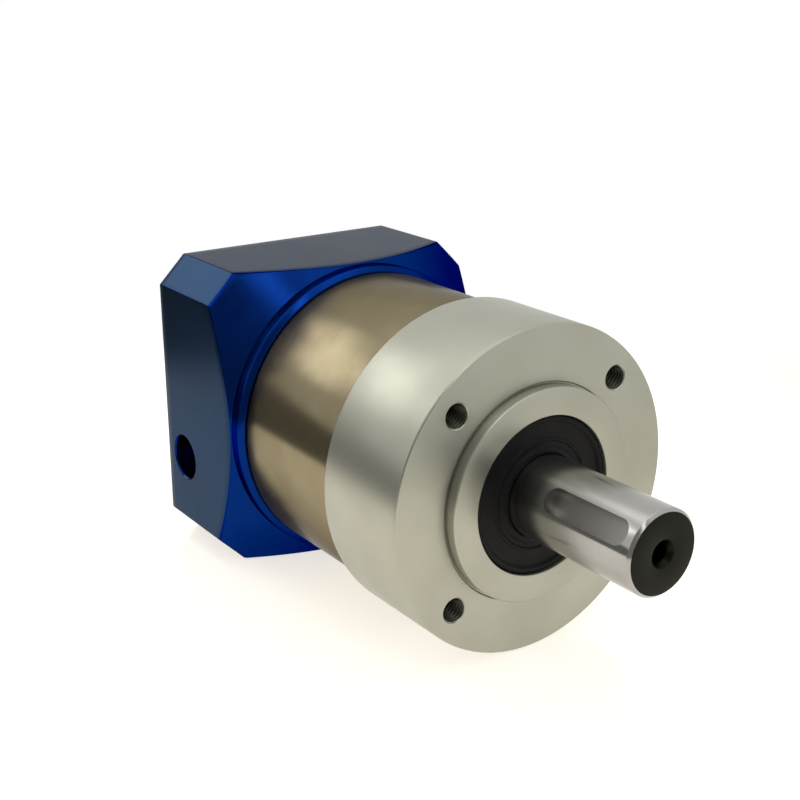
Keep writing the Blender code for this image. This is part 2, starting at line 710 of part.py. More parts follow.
def make_clamp(builder, metals):
    """The clamp ring round the hub's slit sleeve, and its screw behind the access hole."""
    bore = HUB_CLAMP_RADIUS + 0.3
    chamfer = 0.6
    points = [
        (CLAMP_RADIUS - chamfer, CLAMP_FRONT),
        (CLAMP_RADIUS, CLAMP_FRONT - chamfer),
        (CLAMP_RADIUS, CLAMP_REAR + chamfer),
        (CLAMP_RADIUS - chamfer, CLAMP_REAR),
        (bore, CLAMP_REAR),
        (bore, CLAMP_FRONT),
    ]
    ring = builder.turned("clamp_ring", points, metals["shaft_steel"], MEDIUM)
    slit = box_mesh("clamp_slit", (bore - 2.0, -0.8, CLAMP_REAR - 1.0),
                    (CLAMP_RADIUS + 1.0, 0.8, CLAMP_FRONT + 1.0))
    boolean(ring, builder.cutter(slit))
    spot = (CLAMP_SCREW_OFFSET, 0.0, ACCESS_HEIGHT)
    facing_access = (pi / 2, 0, 0)
    head_radius = 4.25
    head_height = 5.0
    shank_radius = 2.4
    seat = 6.5
    tip = -8.0
    clearance = cylinder_mesh("clamp_screw_hole", shank_radius + 0.2, -CLAMP_RADIUS, CLAMP_RADIUS, SMALL)
    boolean(ring, builder.cutter(clearance, spot, facing_access))
    pocket = cylinder_mesh("clamp_head_pocket", head_radius + 0.35, seat, CLAMP_RADIUS, COARSE)
    boolean(ring, builder.cutter(pocket, spot, facing_access))
    mesh = socket_screw_mesh("clamp_screw", shank_radius, tip, head_radius, seat + 0.2, head_height)
    screw = builder.part("clamp_screw", mesh, metals["black_steel"], spot)
    screw.rotation_euler = facing_access
    add_screw(screw, SMALL)
    socket = cylinder_mesh("clamp_socket", 2.3, seat + 0.2 + head_height - 2.6, seat + head_height + 1.0, 6)
    boolean(screw, builder.cutter(socket, spot, facing_access))


def socket_screw_mesh(name, shank_radius, tip, head_radius, seat, head_height):
    """A socket head screw's profile, head upwards."""
    edge = 0.4
    top = seat + head_height
    points = [
        (0.0, top),
        (head_radius - edge, top),
        (head_radius, top - edge),
        (head_radius, seat),
        (shank_radius, seat),
        (shank_radius, tip + edge),
        (shank_radius - edge, tip),
        (0.0, tip),
    ]
    return profile_mesh(name, points, False)


def make_tie_screws(builder, metals):
    """Four long screws that clamp the motor flange, ring gear and output housing together."""
    seat = -TIE_SEAT + 0.3
    tip = -TIE_TIP
    for index in range(4):
        name = f"tie_screw_{index + 1}"
        mesh = socket_screw_mesh(name, TIE_RADIUS, tip, TIE_HEAD_RADIUS, seat, TIE_HEAD_HEIGHT)
        spot = polar(TIE_CIRCLE, tau * index / 4)
        screw = builder.part(name, mesh, metals["black_steel"], spot)
        screw.rotation_euler = (pi, 0, 0)
        add_screw(screw, 12)
        top = seat + TIE_HEAD_HEIGHT
        socket = cylinder_mesh(f"tie_socket_{index}", 1.75, top - 2.2, top + 1.0, 6)
        boolean(screw, builder.cutter(socket, spot, (pi, 0, 0)))


# ---------------------------------------------------------------- the whole reducer

def make_metals():
    """Every part's material."""
    return {
        "anodised": new_material("blue_anodised", (0.010, 0.035, 0.160), 0.32, 1.0),
        "ring_steel": new_material("satin_steel", (0.43, 0.38, 0.31), 0.33, 1.0),
        "aluminium": new_material("bare_aluminium", (0.78, 0.77, 0.74), 0.34, 1.0),
        "shaft_steel": new_material("ground_steel", (0.70, 0.69, 0.67), 0.20, 1.0),
        "gear_steel": new_material("case_hardened_steel", (0.40, 0.39, 0.38), 0.35, 1.0),
        "bearing_steel": new_material("bearing_steel", (0.72, 0.72, 0.73), 0.15, 1.0),
        "spring_steel": new_material("phosphated_spring_steel", (0.09, 0.09, 0.095), 0.45, 1.0),
        "black_steel": new_material("black_oxide_steel", (0.05, 0.05, 0.055), 0.42, 1.0),
        "bronze": new_material("bronze", (0.66, 0.43, 0.20), 0.38, 1.0),
        "cage": new_material("pressed_steel_cage", (0.60, 0.58, 0.55), 0.35, 1.0),
        "rubber": new_material("nitrile_rubber", (0.016, 0.016, 0.018), 0.55, 0.0),
    }


def shade_round_parts(builder):
    """Smooth shading between facets, with sharp edges kept."""
    for obj in builder.parts.objects:
        if obj.type == "MESH" and not obj.modifiers:
            obj.data.shade_smooth()
            obj.data.set_sharp_from_angle(angle=radians(30))


def main():
    """Build the reducer."""
    start_clean()
    builder = Builder()
    metals = make_metals()
    make_output_housing(builder, metals)
    make_ring_gear(builder, metals)
    make_motor_flange(builder, metals)
    make_output_shaft(builder, metals)
    make_planets(builder, metals)
    make_sun(builder, metals)
    make_bearing(builder, metals, "output_bearing_front", -7.0, 12.0, (12.5, 23.5), 9, 3.1)
    make_bearing(builder, metals, "output_bearing_rear", -21.0, 12.0, (12.5, 23.5), 9, 3.1)
    make_bearing(builder, metals, "input_bearing", -71.3, 9.0, (12.5, 21.0), 10, 2.3)
    make_circlips(builder, metals)
    make_seal(builder, metals, "output_seal", 2.3, -4.5, SHAFT_RADIUS)
    make_seal(builder, metals, "input_seal", -87.7, -82.1, JOURNAL_RADIUS)
    make_rings(builder, metals)
    make_input_hub(builder, metals)
    make_clamp(builder, metals)
    make_tie_screws(builder, metals)
    shade_round_parts(builder)


main()
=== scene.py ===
"""The finished look of the inline gear reducer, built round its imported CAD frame."""

from math import acos, atan2, cos, hypot, pi, radians, sin, sqrt, tan, tau

import bmesh
import bpy
from mathutils import Matrix, Vector


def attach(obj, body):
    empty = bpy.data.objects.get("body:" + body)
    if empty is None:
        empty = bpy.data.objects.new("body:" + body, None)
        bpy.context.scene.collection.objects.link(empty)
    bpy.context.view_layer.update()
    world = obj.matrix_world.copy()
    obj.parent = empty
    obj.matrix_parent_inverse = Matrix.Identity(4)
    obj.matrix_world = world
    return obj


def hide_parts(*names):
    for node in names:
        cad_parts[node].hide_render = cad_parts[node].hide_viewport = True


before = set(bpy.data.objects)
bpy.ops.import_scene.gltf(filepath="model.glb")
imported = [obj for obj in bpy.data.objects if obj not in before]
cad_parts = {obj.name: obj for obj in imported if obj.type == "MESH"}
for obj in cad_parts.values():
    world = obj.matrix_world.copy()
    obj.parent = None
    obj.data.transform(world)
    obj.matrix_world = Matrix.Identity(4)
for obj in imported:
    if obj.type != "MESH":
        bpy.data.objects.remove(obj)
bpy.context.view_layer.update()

MM = 0.001

# The gear axis is world X. Heights along it are in mm from the output flange's face, as in part.py.
FLANGE_FACE_X = 35.0
FLOOR_Z = -0.040

# Sizes that the fine pieces share with the CAD
SQUARE_HALF = 40.0
CORNER_CHAMFER = 7.5
NECK_RADIUS = 39.7
NECK_REAR = -72.6
CORNER_FRONT = -81.4
CORNER_REACH = hypot(SQUARE_HALF, SQUARE_HALF - CORNER_CHAMFER)
CONE_SLOPE = (NECK_REAR - CORNER_FRONT) / (CORNER_REACH - NECK_RADIUS)
MOTOR_FACE = -110.0
KEYWAY_ANGLE = radians(237)
TIE_CIRCLE = 34.0
ACCESS_HEIGHT = -100.0
CLAMP_SCREW_OFFSET = 14.4
PRESSURE_ANGLE = radians(25)
MODULE = 1.2
RING_TEETH = 48
PLANET_TEETH = 18
SUN_TEETH = 12
PLANET_ORBIT = 18.0
GEAR_FRONT = -42.1
GEAR_REAR = -61.5
FLANGE_RADIUS = 40.0
RECESS_RADIUS = 35.0
SHAFT_RADIUS = 10.0
JOURNAL_RADIUS = 12.5
SHAFT_TIP = 40.0
KEYWAY_MIDDLE = 25.0
KEYWAY_LENGTH = 25.0
KEYWAY_WIDTH = 6.0
OUTPUT_HOLE_CIRCLE = 33.0
MOTOR_HOLE_CIRCLE = 45.0
OUTPUT_HOLE_DEPTH = 14.0
MOTOR_HOLE_DEPTH = 18.0
TIE_HOLE_RADIUS = 2.2

# An M6 thread's inner radius, outer radius and pitch
M6_THREAD = (2.5, 3.0, 1.0)

# The outermost surfaces stay this far inside the CAD, so that float rounding can't pass its box
ROUNDING_ROOM = 0.002

# Camera, in the photograph's direction
CAMERA_AZIMUTH = radians(54.69)
CAMERA_ELEVATION = radians(19.08)
CAMERA_DISTANCE = 0.32827
CAMERA_LENS = 59.69
CAMERA_PAN = (-0.01395, 0.01322)
CAMERA_TARGET = (0.005, 0.0, 0.0)


# ---------------------------------------------------------------- mesh tools

def along_axis(height):
    """World X of a height in mm."""
    return (height + FLANGE_FACE_X) * MM


def gear_axis():
    """The matrix from a part's own millimetres, turned about +Z, to the world."""
    tilt = Matrix.Rotation(pi / 2, 4, "Y")
    return Matrix.Translation((FLANGE_FACE_X * MM, 0, 0)) @ tilt @ Matrix.Scale(MM, 4)


def placed(x, y, height, turn=0.0, tilt=None):
    """A matrix for a piece whose own axis stands at (x, y, height) on the gear axis frame."""
    matrix = gear_axis() @ Matrix.Translation((x, y, height)) @ Matrix.Rotation(turn, 4, "Z")
    if tilt is not None:
        matrix = matrix @ tilt
    return matrix


def polar(radius, angle):
    """A point on a circle."""
    return (radius * cos(angle), radius * sin(angle))


def rounded(points, closed, steps=3):
    """A section whose third values are corner radii, with those corners made into arcs."""
    count = len(points)
    result = []
    for index, point in enumerate(points):
        here = Vector(point[:2])
        radius = point[2] if len(point) > 2 else 0.0
        inside = closed or 0 < index < count - 1
        if radius <= 0.0 or not inside:
            result.append((here.x, here.y))
            continue
        before = Vector(points[index - 1][:2])
        after = Vector(points[(index + 1) % count][:2])
        to_before = (before - here).normalized()
        to_after = (after - here).normalized()
        half = to_before.angle(to_after) / 2
        reach = radius / tan(half)
        reach = min(reach, 0.49 * (before - here).length, 0.49 * (after - here).length)
        radius = reach * tan(half)
        centre = here + (to_before + to_after).normalized() * (radius / sin(half))
        start = here + to_before * reach - centre
        end = here + to_after * reach - centre
        first = atan2(start.y, start.x)
        sweep = atan2(end.y, end.x) - first
        sweep = (sweep + pi) % tau - pi
        for step in range(steps + 1):
            angle = first + sweep * step / steps
            result.append((centre.x + radius * cos(angle), centre.y + radius * sin(angle)))
    return result


def mesh_object(name, shape, matrix=None):
    """Turn a bmesh into an object with its place in its mesh."""
    if matrix is not None:
        bmesh.ops.transform(shape, matrix=matrix, verts=shape.verts)
    bmesh.ops.recalc_face_normals(shape, faces=shape.faces)
    mesh = bpy.data.meshes.new(name)
    shape.to_mesh(mesh)
    shape.free()
    obj = bpy.data.objects.new(name, mesh)
    bpy.context.scene.collection.objects.link(obj)
    return obj


def skin_rings(shape, rings, loop):
    """Faces between neighbouring rings; a ring of one vertex is a pole."""
    pairs = list(zip(rings, rings[1:]))
    if loop:
        pairs.append((rings[-1], rings[0]))
    for first, second in pairs:
        count = max(len(first), len(second))
        if count == 1:
            continue
        for index in range(count):
            after = (index + 1) % count
            corners = []
            for ring, spots in ((first, (index, after)), (second, (after, index))):
                if len(ring) == 1:
                    corners.append(ring[0])
                else:
                    corners += [ring[spot] for spot in spots]
            shape.faces.new(corners)


def turned(name, section, segments, matrix=None, loop=True):
    """A piece turned from a section of (radius, height, corner radius) in mm."""
    points = rounded(section, loop)
    shape = bmesh.new()
    rings = []
    for radius, height in points:
        if radius < 1e-6:
            rings.append([shape.verts.new((0, 0, height))])
        else:
            rings.append([shape.verts.new((*polar(radius, tau * step / segments), height))
                          for step in range(segments)])
    skin_rings(shape, rings, loop)
    return mesh_object(name, shape, gear_axis() if matrix is None else matrix)


def prism(name, outline, bottom, top, matrix=None, bevel=0.0):
    """An outline extruded between two heights, with its end edges chamfered by bevel."""
    shape = bmesh.new()
    lower = [shape.verts.new((x, y, bottom)) for x, y in outline]
    upper = [shape.verts.new((x, y, top)) for x, y in outline]
    skin_rings(shape, [lower, upper], False)
    shape.faces.new(reversed(lower))
    shape.faces.new(upper)
    if bevel:
        rim = [edge for edge in shape.edges if len({round(v.co.z, 4) for v in edge.verts}) == 1]
        bmesh.ops.bevel(shape, geom=rim, offset=bevel, segments=1, affect="EDGES")
    return mesh_object(name, shape, gear_axis() if matrix is None else matrix)


def threaded_tool(name, minor, major, pitch, depth, mouth, matrix, segments=28):
    """A cutter for a tapped hole: a helical thread with a small countersink at its mouth."""
    rows_a_turn = 6
    countersink = major + 0.2
    bottom = mouth - depth
    shape = bmesh.new()
    rows = int((mouth - bottom) / pitch * rows_a_turn)
    rings = [[shape.verts.new((0, 0, bottom - minor * 0.5))]]
    for row in range(rows + 1):
        height = bottom + (mouth - bottom) * row / rows
        fade = min(1.0, (height - bottom) / pitch)
        ring = []
        for step in range(segments):
            turn = step / segments
            wave = (height / pitch - turn) % 1.0
            ridge = 1.0 - abs(2.0 * wave - 1.0)
            radius = minor + (major - minor) * min(1.0, ridge * 1.25) * fade
            radius = max(radius, countersink - (mouth - height))
            ring.append(shape.verts.new((*polar(radius, tau * turn), height)))
        rings.append(ring)
    rings.append([shape.verts.new((*polar(countersink, tau * step / segments), mouth + 1.0))
                  for step in range(segments)])
    rings.append([shape.verts.new((0, 0, mouth + 1.0))])
    skin_rings(shape, rings, False)
    return mesh_object(name, shape, matrix)


def joined(name, pieces):
    """Several separate meshes in one object."""
    shape = bmesh.new()
    for piece in pieces:
        shape.from_mesh(piece.data)
        bpy.data.objects.remove(piece, do_unlink=True)
    mesh = bpy.data.meshes.new(name)
    shape.to_mesh(mesh)
    shape.free()
    obj = bpy.data.objects.new(name, mesh)
    bpy.context.scene.collection.objects.link(obj)
    return obj


def carve(obj, tool, operation="DIFFERENCE"):
    """Cut or join with another object and apply it."""
    modifier = obj.modifiers.new("carve", "BOOLEAN")
    modifier.operation = operation
    modifier.solver = "EXACT"
    modifier.object = tool
    graph = bpy.context.evaluated_depsgraph_get()
    mesh = bpy.data.meshes.new_from_object(obj.evaluated_get(graph))
    obj.modifiers.clear()
    obj.data = mesh
    bpy.data.objects.remove(tool, do_unlink=True)
    shape = bmesh.new()
    shape.from_mesh(mesh)
    bmesh.ops.remove_doubles(shape, verts=shape.verts, dist=1e-7)
    bmesh.ops.dissolve_degenerate(shape, edges=shape.edges, dist=1e-7)
    shape.to_mesh(mesh)
    shape.free()


def finish_piece(obj, body, nodes, material, sharp=28):
    """Shade, ride, hide the CAD node it stands for, and give its finish."""
    obj.data.shade_smooth()
    obj.data.set_sharp_from_angle(angle=radians(sharp))
    obj.data.materials.clear()
    for entry in material if isinstance(material, list) else [material]:
        obj.data.materials.append(entry)
    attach(obj, body)
    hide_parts(*nodes)
    return obj


# ---------------------------------------------------------------- materials

class Nodes:
    """A small helper for wiring a material's nodes."""

    def __init__(self, name):
        self.material = bpy.data.materials.new(name)
        self.material.use_nodes = True
        self.tree = self.material.node_tree
        self.shader = self.tree.nodes["Principled BSDF"]
        self.place = self.add("ShaderNodeTexCoord").outputs["Object"]

    def add(self, kind, **settings):
        node = self.tree.nodes.new(kind)
        for key, value in settings.items():
            setattr(node, key, value)
        return node

    def link(self, source, target):
        self.tree.links.new(source, target)

    def math(self, operation, first, second=None):
        node = self.add("ShaderNodeMath", operation=operation)
        for socket, value in zip(node.inputs, (first, second)):
            if value is None:
                continue
            if isinstance(value, (int, float)):
                socket.default_value = value
            else:
                self.link(value, socket)
        return node.outputs[0]

    def axis_and_radius(self):
        """Distance along the gear axis and distance from it."""
        split = self.add("ShaderNodeSeparateXYZ")
        self.link(self.place, split.inputs[0])
        squares = self.math("ADD", self.math("MULTIPLY", split.outputs[1], split.outputs[1]),
                            self.math("MULTIPLY", split.outputs[2], split.outputs[2]))
        return split.outputs[0], self.math("SQRT", squares)

    def noise(self, scale, detail=2.0, vector=None, roughness=0.5):
        node = self.add("ShaderNodeTexNoise")
        node.inputs["Scale"].default_value = scale
        node.inputs["Detail"].default_value = detail
        node.inputs["Roughness"].default_value = roughness
        self.link(self.place if vector is None else vector, node.inputs["Vector"])
        return node.outputs["Fac"]

    def combine(self, x, y, z):
        node = self.add("ShaderNodeCombineXYZ")
        for socket, value in zip(node.inputs, (x, y, z)):
            if isinstance(value, (int, float)):
                socket.default_value = value
            else:
                self.link(value, socket)
        return node.outputs[0]

    def spread(self, value, low, high, from_low=0.3, from_high=0.7):
        node = self.add("ShaderNodeMapRange")
        node.inputs["From Min"].default_value = from_low
        node.inputs["From Max"].default_value = from_high
        node.inputs["To Min"].default_value = low
        node.inputs["To Max"].default_value = high
        self.link(value, node.inputs["Value"])
        return node.outputs["Result"]

    def blend(self, factor, first, second):
        node = self.add("ShaderNodeMix", data_type="RGBA")
        self.link(factor, node.inputs[0])
        for socket, colour in ((node.inputs[6], first), (node.inputs[7], second)):
            if isinstance(colour, tuple):
                socket.default_value = (*colour, 1.0)
            else:
                self.link(colour, socket)
        return node.outputs[2]

    def bump(self, height, distance, strength=1.0):
        node = self.add("ShaderNodeBump")
        node.inputs["Strength"].default_value = strength
        node.inputs["Distance"].default_value = distance
        self.link(height, node.inputs["Height"])
        self.link(node.outputs["Normal"], self.shader.inputs["Normal"])


def turned_lines(nodes, lines_per_m):
    """Circular tool marks round the gear axis."""
    axis, radius = nodes.axis_and_radius()
    vector = nodes.combine(nodes.math("MULTIPLY", axis, lines_per_m),
                           nodes.math("MULTIPLY", radius, lines_per_m), 0.0)
    return nodes.noise(1.0, 3.0, vector)


def metal(name, colour, roughness, spread=0.05, tint=None, marks="turned", depth=2e-6, coat=0.0,
          stretch=0.0, lines=2600.0, cloud=55.0, grazing=1.0):
    """A machined metal with tool marks, uneven polish and slight colour drift."""
    nodes = Nodes(name)
    shader = nodes.shader
    shader.inputs["Metallic"].default_value = 1.0
    shader.inputs["Specular Tint"].default_value = (grazing, grazing, grazing, 1.0)
    if coat:
        shader.inputs["Coat Weight"].default_value = coat
        shader.inputs["Coat IOR"].default_value = 1.6
        shader.inputs["Coat Roughness"].default_value = 0.18
    if stretch:
        tangent = nodes.add("ShaderNodeTangent", direction_type="RADIAL", axis="X")
        nodes.link(tangent.outputs[0], shader.inputs["Tangent"])
        shader.inputs["Anisotropic"].default_value = stretch
        shader.inputs["Anisotropic Rotation"].default_value = 0.25
    clouds = nodes.noise(cloud, 4.0)
    tint = tuple(channel * 0.86 for channel in colour) if tint is None else tint
    nodes.link(nodes.blend(nodes.spread(clouds, 0.0, 1.0), colour, tint), shader.inputs["Base Color"])
    if marks == "turned":
        lines_height = turned_lines(nodes, lines)
    elif marks == "milled":
        split = nodes.add("ShaderNodeSeparateXYZ")
        nodes.link(nodes.place, split.inputs[0])
        vector = nodes.combine(nodes.math("MULTIPLY", split.outputs[0], lines), 0.0,
                               nodes.math("MULTIPLY", split.outputs[2], lines * 0.02))
        lines_height = nodes.noise(1.0, 2.0, vector)
    else:
        lines_height = nodes.noise(lines, 2.0)
    uneven = nodes.math("ADD", nodes.math("MULTIPLY", clouds, 0.6),
                        nodes.math("MULTIPLY", lines_height, 0.4))
    low = max(0.02, roughness - spread)
    nodes.link(nodes.spread(uneven, low, roughness + spread), shader.inputs["Roughness"])
    nodes.bump(lines_height, depth)
    return nodes.material


def rubber(name):
    """Moulded black rubber with a faint dust bloom."""
    nodes = Nodes(name)
    shader = nodes.shader
    shader.inputs["Specular IOR Level"].default_value = 0.12
    grain = nodes.noise(1800.0, 3.0)
    patches = nodes.noise(140.0, 3.0)
    nodes.link(nodes.blend(nodes.spread(patches, 0.0, 1.0), (0.002, 0.002, 0.0024),
                           (0.006, 0.006, 0.0066)), shader.inputs["Base Color"])
    nodes.link(nodes.spread(grain, 0.38, 0.55), shader.inputs["Roughness"])
    nodes.bump(grain, 1.2e-5, 0.5)
    return nodes.material


def make_materials():
    """Every finish, by its record slot or its use."""
    return {
        # The turned surfaces share the flats' anodising but their blue is painted about twice as bright:
        # a painted lit copy of the same finish, over real turned marks and stretch.
        "flare": metal("anodised_turned_painted_bright", (0.002, 0.019, 0.140), 0.22, tint=(0.002, 0.025, 0.175),
                       stretch=0.8, depth=2.5e-6, grazing=0.25),
        "anodised": metal("anodised_milled", (0.0035, 0.025, 0.070), 0.28,
                          tint=(0.004, 0.030, 0.083), coat=0.16, marks="milled", depth=1.0e-6,
                          grazing=0.5),
        "satin_steel": metal("satin_ring_steel", (0.26, 0.225, 0.145), 0.20, 0.05,
                             tint=(0.22, 0.185, 0.115), depth=1.2e-6, stretch=0.85, cloud=70.0,
                             grazing=0.5),
        "bare_aluminium": metal("bare_aluminium", (0.41, 0.41, 0.35), 0.38, 0.05,
                                tint=(0.375, 0.375, 0.315), depth=2.5e-6, stretch=0.6),
        "ground_steel": metal("ground_steel", (0.40, 0.395, 0.38), 0.17, 0.03, depth=0.8e-6,
                              stretch=0.9),
        "milled_steel": metal("milled_steel", (0.30, 0.29, 0.27), 0.40, 0.06, marks="milled"),
        # Near-black steel for the shaft's end face; inside the centre hole the same near-black is
        # painted shade.
        "dark_end": metal("near_black_end_and_hole_shade", (0.013, 0.0135, 0.010), 0.36, 0.08, depth=3e-6),
        # Near-black aluminium for the output housing's tapped holes: painted shade inside the holes.
        "bore_painted_shade": metal("tapped_bore_painted_shade", (0.05, 0.05, 0.04), 0.40, 0.08, marks="grain",
                           lines=1500.0),
        "gear_steel": metal("case_hardened", (0.40, 0.39, 0.37), 0.30, 0.06, marks="grain",
                            lines=900.0, depth=1e-6),
        "bearing_steel": metal("bearing_steel", (0.62, 0.62, 0.63), 0.12, 0.03, depth=0.5e-6),
        "bearing_cage": metal("cage_steel", (0.52, 0.50, 0.47), 0.28, 0.06, marks="grain",
                              lines=1200.0),
        "spring_steel": metal("phosphated_spring", (0.085, 0.085, 0.09), 0.42, 0.08,
                              marks="grain", lines=1500.0, depth=4e-6),
        "black_steel": metal("black_oxide", (0.045, 0.045, 0.05), 0.36, 0.08, marks="grain",
                             lines=1100.0, depth=3e-6),
        "bronze": metal("sintered_bronze", (0.56, 0.36, 0.17), 0.36, 0.06, marks="grain",
                        lines=2200.0, depth=5e-6),
        "nitrile_rubber": rubber("nitrile_rubber"),
    }


# ---------------------------------------------------------------- gears

def involute(angle):
    return tan(angle) - angle


def tooth_outline(teeth, tip, root, clearance):
    """A fine closed tooth outline with a tooth centred on +X."""
    pitch = MODULE * teeth / 2
    base = pitch * cos(PRESSURE_ANGLE)
    half_at_pitch = pi / (2 * teeth) - clearance / pitch

    def half_angle(radius):
        pressure = acos(min(1.0, base / radius))
        return half_at_pitch + involute(PRESSURE_ANGLE) - involute(pressure)

    steps = 6
    flank = [root + (tip - root) * step / steps for step in range(steps + 1)]
    outline = []
    for tooth in range(teeth):
        middle = tau * tooth / teeth
        outline += [polar(radius, middle - half_angle(radius)) for radius in flank]
        outline += [polar(radius, middle + half_angle(radius)) for radius in reversed(flank)]
    return outline


# ---------------------------------------------------------------- casing

def square_points():
    """The motor flange's outline, its eight corners slightly rounded and its sides divided."""
    half = SQUARE_HALF - ROUNDING_ROOM
    inner = half - CORNER_CHAMFER
    corner_round = 0.5
    corners = []
    for quarter in range(4):
        spin = Matrix.Rotation(quarter * pi / 2, 2)
        corners += [(*(spin @ Vector((half, -inner))), corner_round),
                    (*(spin @ Vector((half, inner))), corner_round)]
    soft = rounded(corners, True, steps=3)
    spacing = 1.1
    points = []
    for index, point in enumerate(soft):
        start = Vector(point)
        end = Vector(soft[(index + 1) % len(soft)])
        pieces = max(1, int((end - start).length / spacing))
        points += [start.lerp(end, step / pieces) for step in range(pieces)]
    return points


def cone_height(radius):
    """Height of the flange's turned cone at a radius."""
    return NECK_REAR - CONE_SLOPE * (radius - NECK_RADIUS)


def flange_section(reach):
    """The motor flange's section at one angle, where its outline lies at a distance reach."""
    corner_share = max(0.0, (reach - SQUARE_HALF) / (CORNER_REACH - SQUARE_HALF))
    edge = 0.15 + 0.75 * corner_share
    front = rounded([
        (27.7, -69.0), (27.7, -63.3, 0.3), (30.6, -63.3, 0.4), (30.6, -64.8), (28.8, -64.8),
        (28.8, -67.0), (30.6, -67.0), (30.6, -68.15), (38.0, -68.15), (38.4, -68.15, 0.2),
        (NECK_RADIUS, -69.3, 0.9), (NECK_RADIUS, NECK_REAR),
    ], False, steps=6)
    steps = 22
    start = NECK_RADIUS + 0.1
    stop = reach - edge
    cone = [start + (stop - start) * step / steps for step in range(steps + 1)]
    side = [(radius, cone_height(radius)) for radius in cone]
    edge_height = cone_height(reach)
    side += [(reach - edge * 0.35, cone_height(reach - edge * 0.8) - edge * 0.3),
             (reach, edge_height - edge * 0.75)]
    rear_edge = 0.5
    back = MOTOR_FACE + rear_edge
    flat_steps = 14
    flat_start = side[-1][1]
    side += [(reach, flat_start + (back - flat_start) * step / flat_steps)
             for step in range(1, flat_steps + 1)]
    side += [(reach - rear_edge * 0.3, MOTOR_FACE + rear_edge * 0.3), (reach - rear_edge, MOTOR_FACE)]
    face_steps = 5
    recess = RECESS_RADIUS + 0.4
    outer = reach - rear_edge
    side += [(outer + (recess - outer) * step / face_steps, MOTOR_FACE)
             for step in range(1, face_steps + 1)]
    inner = rounded([
        (recess, MOTOR_FACE), (RECESS_RADIUS, MOTOR_FACE + 0.4), (RECESS_RADIUS, -107.5),
        (28.0, -107.5, 0.5),
        (28.0, -88.0, 1.2), (19.3, -88.0, 0.4), (19.3, -81.8), (17.5, -81.8), (17.5, -80.6),
        (21.3, -80.6), (21.3, -71.1), (22.4, -71.1), (22.4, -69.5), (21.3, -69.5),
        (21.3, -69.0, 0.3), (27.7, -69.0),
    ], False)
    return front + side + inner[1:-1]


def make_motor_flange(materials):
    """The blue motor flange."""
    shape = bmesh.new()
    matrix = gear_axis()
    outline = square_points()
    sections = [flange_section(point.length) for point in outline]
    directions = [point.normalized() for point in outline]
    rings = []
    for row in range(len(sections[0])):
        ring = []
        for section, way in zip(sections, directions):
            radius, height = section[row]
            ring.append(shape.verts.new((way.x * radius, way.y * radius, height)))
        rings.append(ring)
    skin_rings(shape, rings, True)
    flange = mesh_object("motor_flange_fine", shape, matrix)
    tools = []
    access = [(0.0, 20.0), (6.0, 20.0), (6.0, 39.6), (6.5, 40.1), (6.5, 42.0), (0.0, 42.0)]
    tilt = Matrix.Rotation(pi / 2, 4, "X")
    spot = placed(CLAMP_SCREW_OFFSET, 0.0, ACCESS_HEIGHT, tilt=tilt)
    tools.append(turned("access", access, 96, spot, loop=False))
    for index in range(4):
        x, y = polar(MOTOR_HOLE_CIRCLE, tau * (index + 0.5) / 4)
        turn_over = Matrix.Rotation(pi, 4, "X")
        tools.append(threaded_tool(f"motor_thread_{index}", *M6_THREAD, MOTOR_HOLE_DEPTH,
                                   -MOTOR_FACE, placed(x, y, 0.0, tilt=turn_over)))
    carve(flange, joined("flange_tools", tools))
    seats = []
    for index in range(4):
        x, y = polar(TIE_CIRCLE, tau * index / 4)
        seat = [(0.0, -112.0), (3.8, -112.0), (3.8, -92.3), (TIE_HOLE_RADIUS, -92.3),
                (TIE_HOLE_RADIUS, -62.0), (0.0, -62.0)]
        seats.append(turned(f"tie_seat_{index}", seat, 48, placed(x, y, 0.0), loop=False))
    carve(flange, joined("tie_seats", seats))
    finish_piece(flange, "housing", ["motor_flange"],
                 [materials["flare"], materials["anodised"]])
    split_flange_faces(flange)
    return flange


def split_flange_faces(flange):
    """The flats, chamfers and motor face are milled; the rest is turned and painted a brighter blue, a
    painted lit copy of the same anodising.
    """
    slope_limit = 0.985
    front_limit = along_axis(NECK_REAR)
    for face in flange.data.polygons:
        normal = face.normal
        across = max(abs(normal.y), abs(normal.z), abs(abs(normal.y) + abs(normal.z)) / sqrt(2))
        radius = sqrt(face.center.y ** 2 + face.center.z ** 2)
        outside = radius > 36.0 * MM and face.center.x < front_limit
        on_motor_face = face.center.x < along_axis(MOTOR_FACE) + 0.01 * MM
        face.material_index = 1 if on_motor_face or (outside and across > slope_limit) else 0


def make_ring_gear(materials):
    """The ring gear body with its fine inner teeth."""
    edge = 0.35
    pitch = MODULE * RING_TEETH / 2
    section = [
        (38.0, -28.15, edge), (38.0, -67.85, edge), (30.9, -67.85, 0.3), (30.9, -63.0),
        (27.6, -63.0, 0.25), (27.6, -37.2, 0.25), (30.9, -37.2), (30.9, -28.15, 0.3),
    ]
    ring = turned("ring_gear_fine", section, 216)
    spaces = tooth_outline(RING_TEETH, pitch + 1.5, pitch - 1.7, -0.05)
    phase = Matrix.Rotation(KEYWAY_ANGLE - pi / RING_TEETH, 4, "Z")
    carve(ring, prism("ring_spaces", spaces, -63.5, -36.7, gear_axis() @ phase))
    holes = []
    for index in range(4):
        x, y = polar(TIE_CIRCLE, tau * index / 4)
        hole = [(0.0, -69.0), (TIE_HOLE_RADIUS, -69.0), (TIE_HOLE_RADIUS, -27.0), (0.0, -27.0)]
        holes.append(turned(f"tie_hole_{index}", hole, 32, placed(x, y, 0.0), loop=False))
    carve(ring, joined("tie_holes", holes))
    return finish_piece(ring, "housing", ["ring_gear"], materials["satin_steel"])


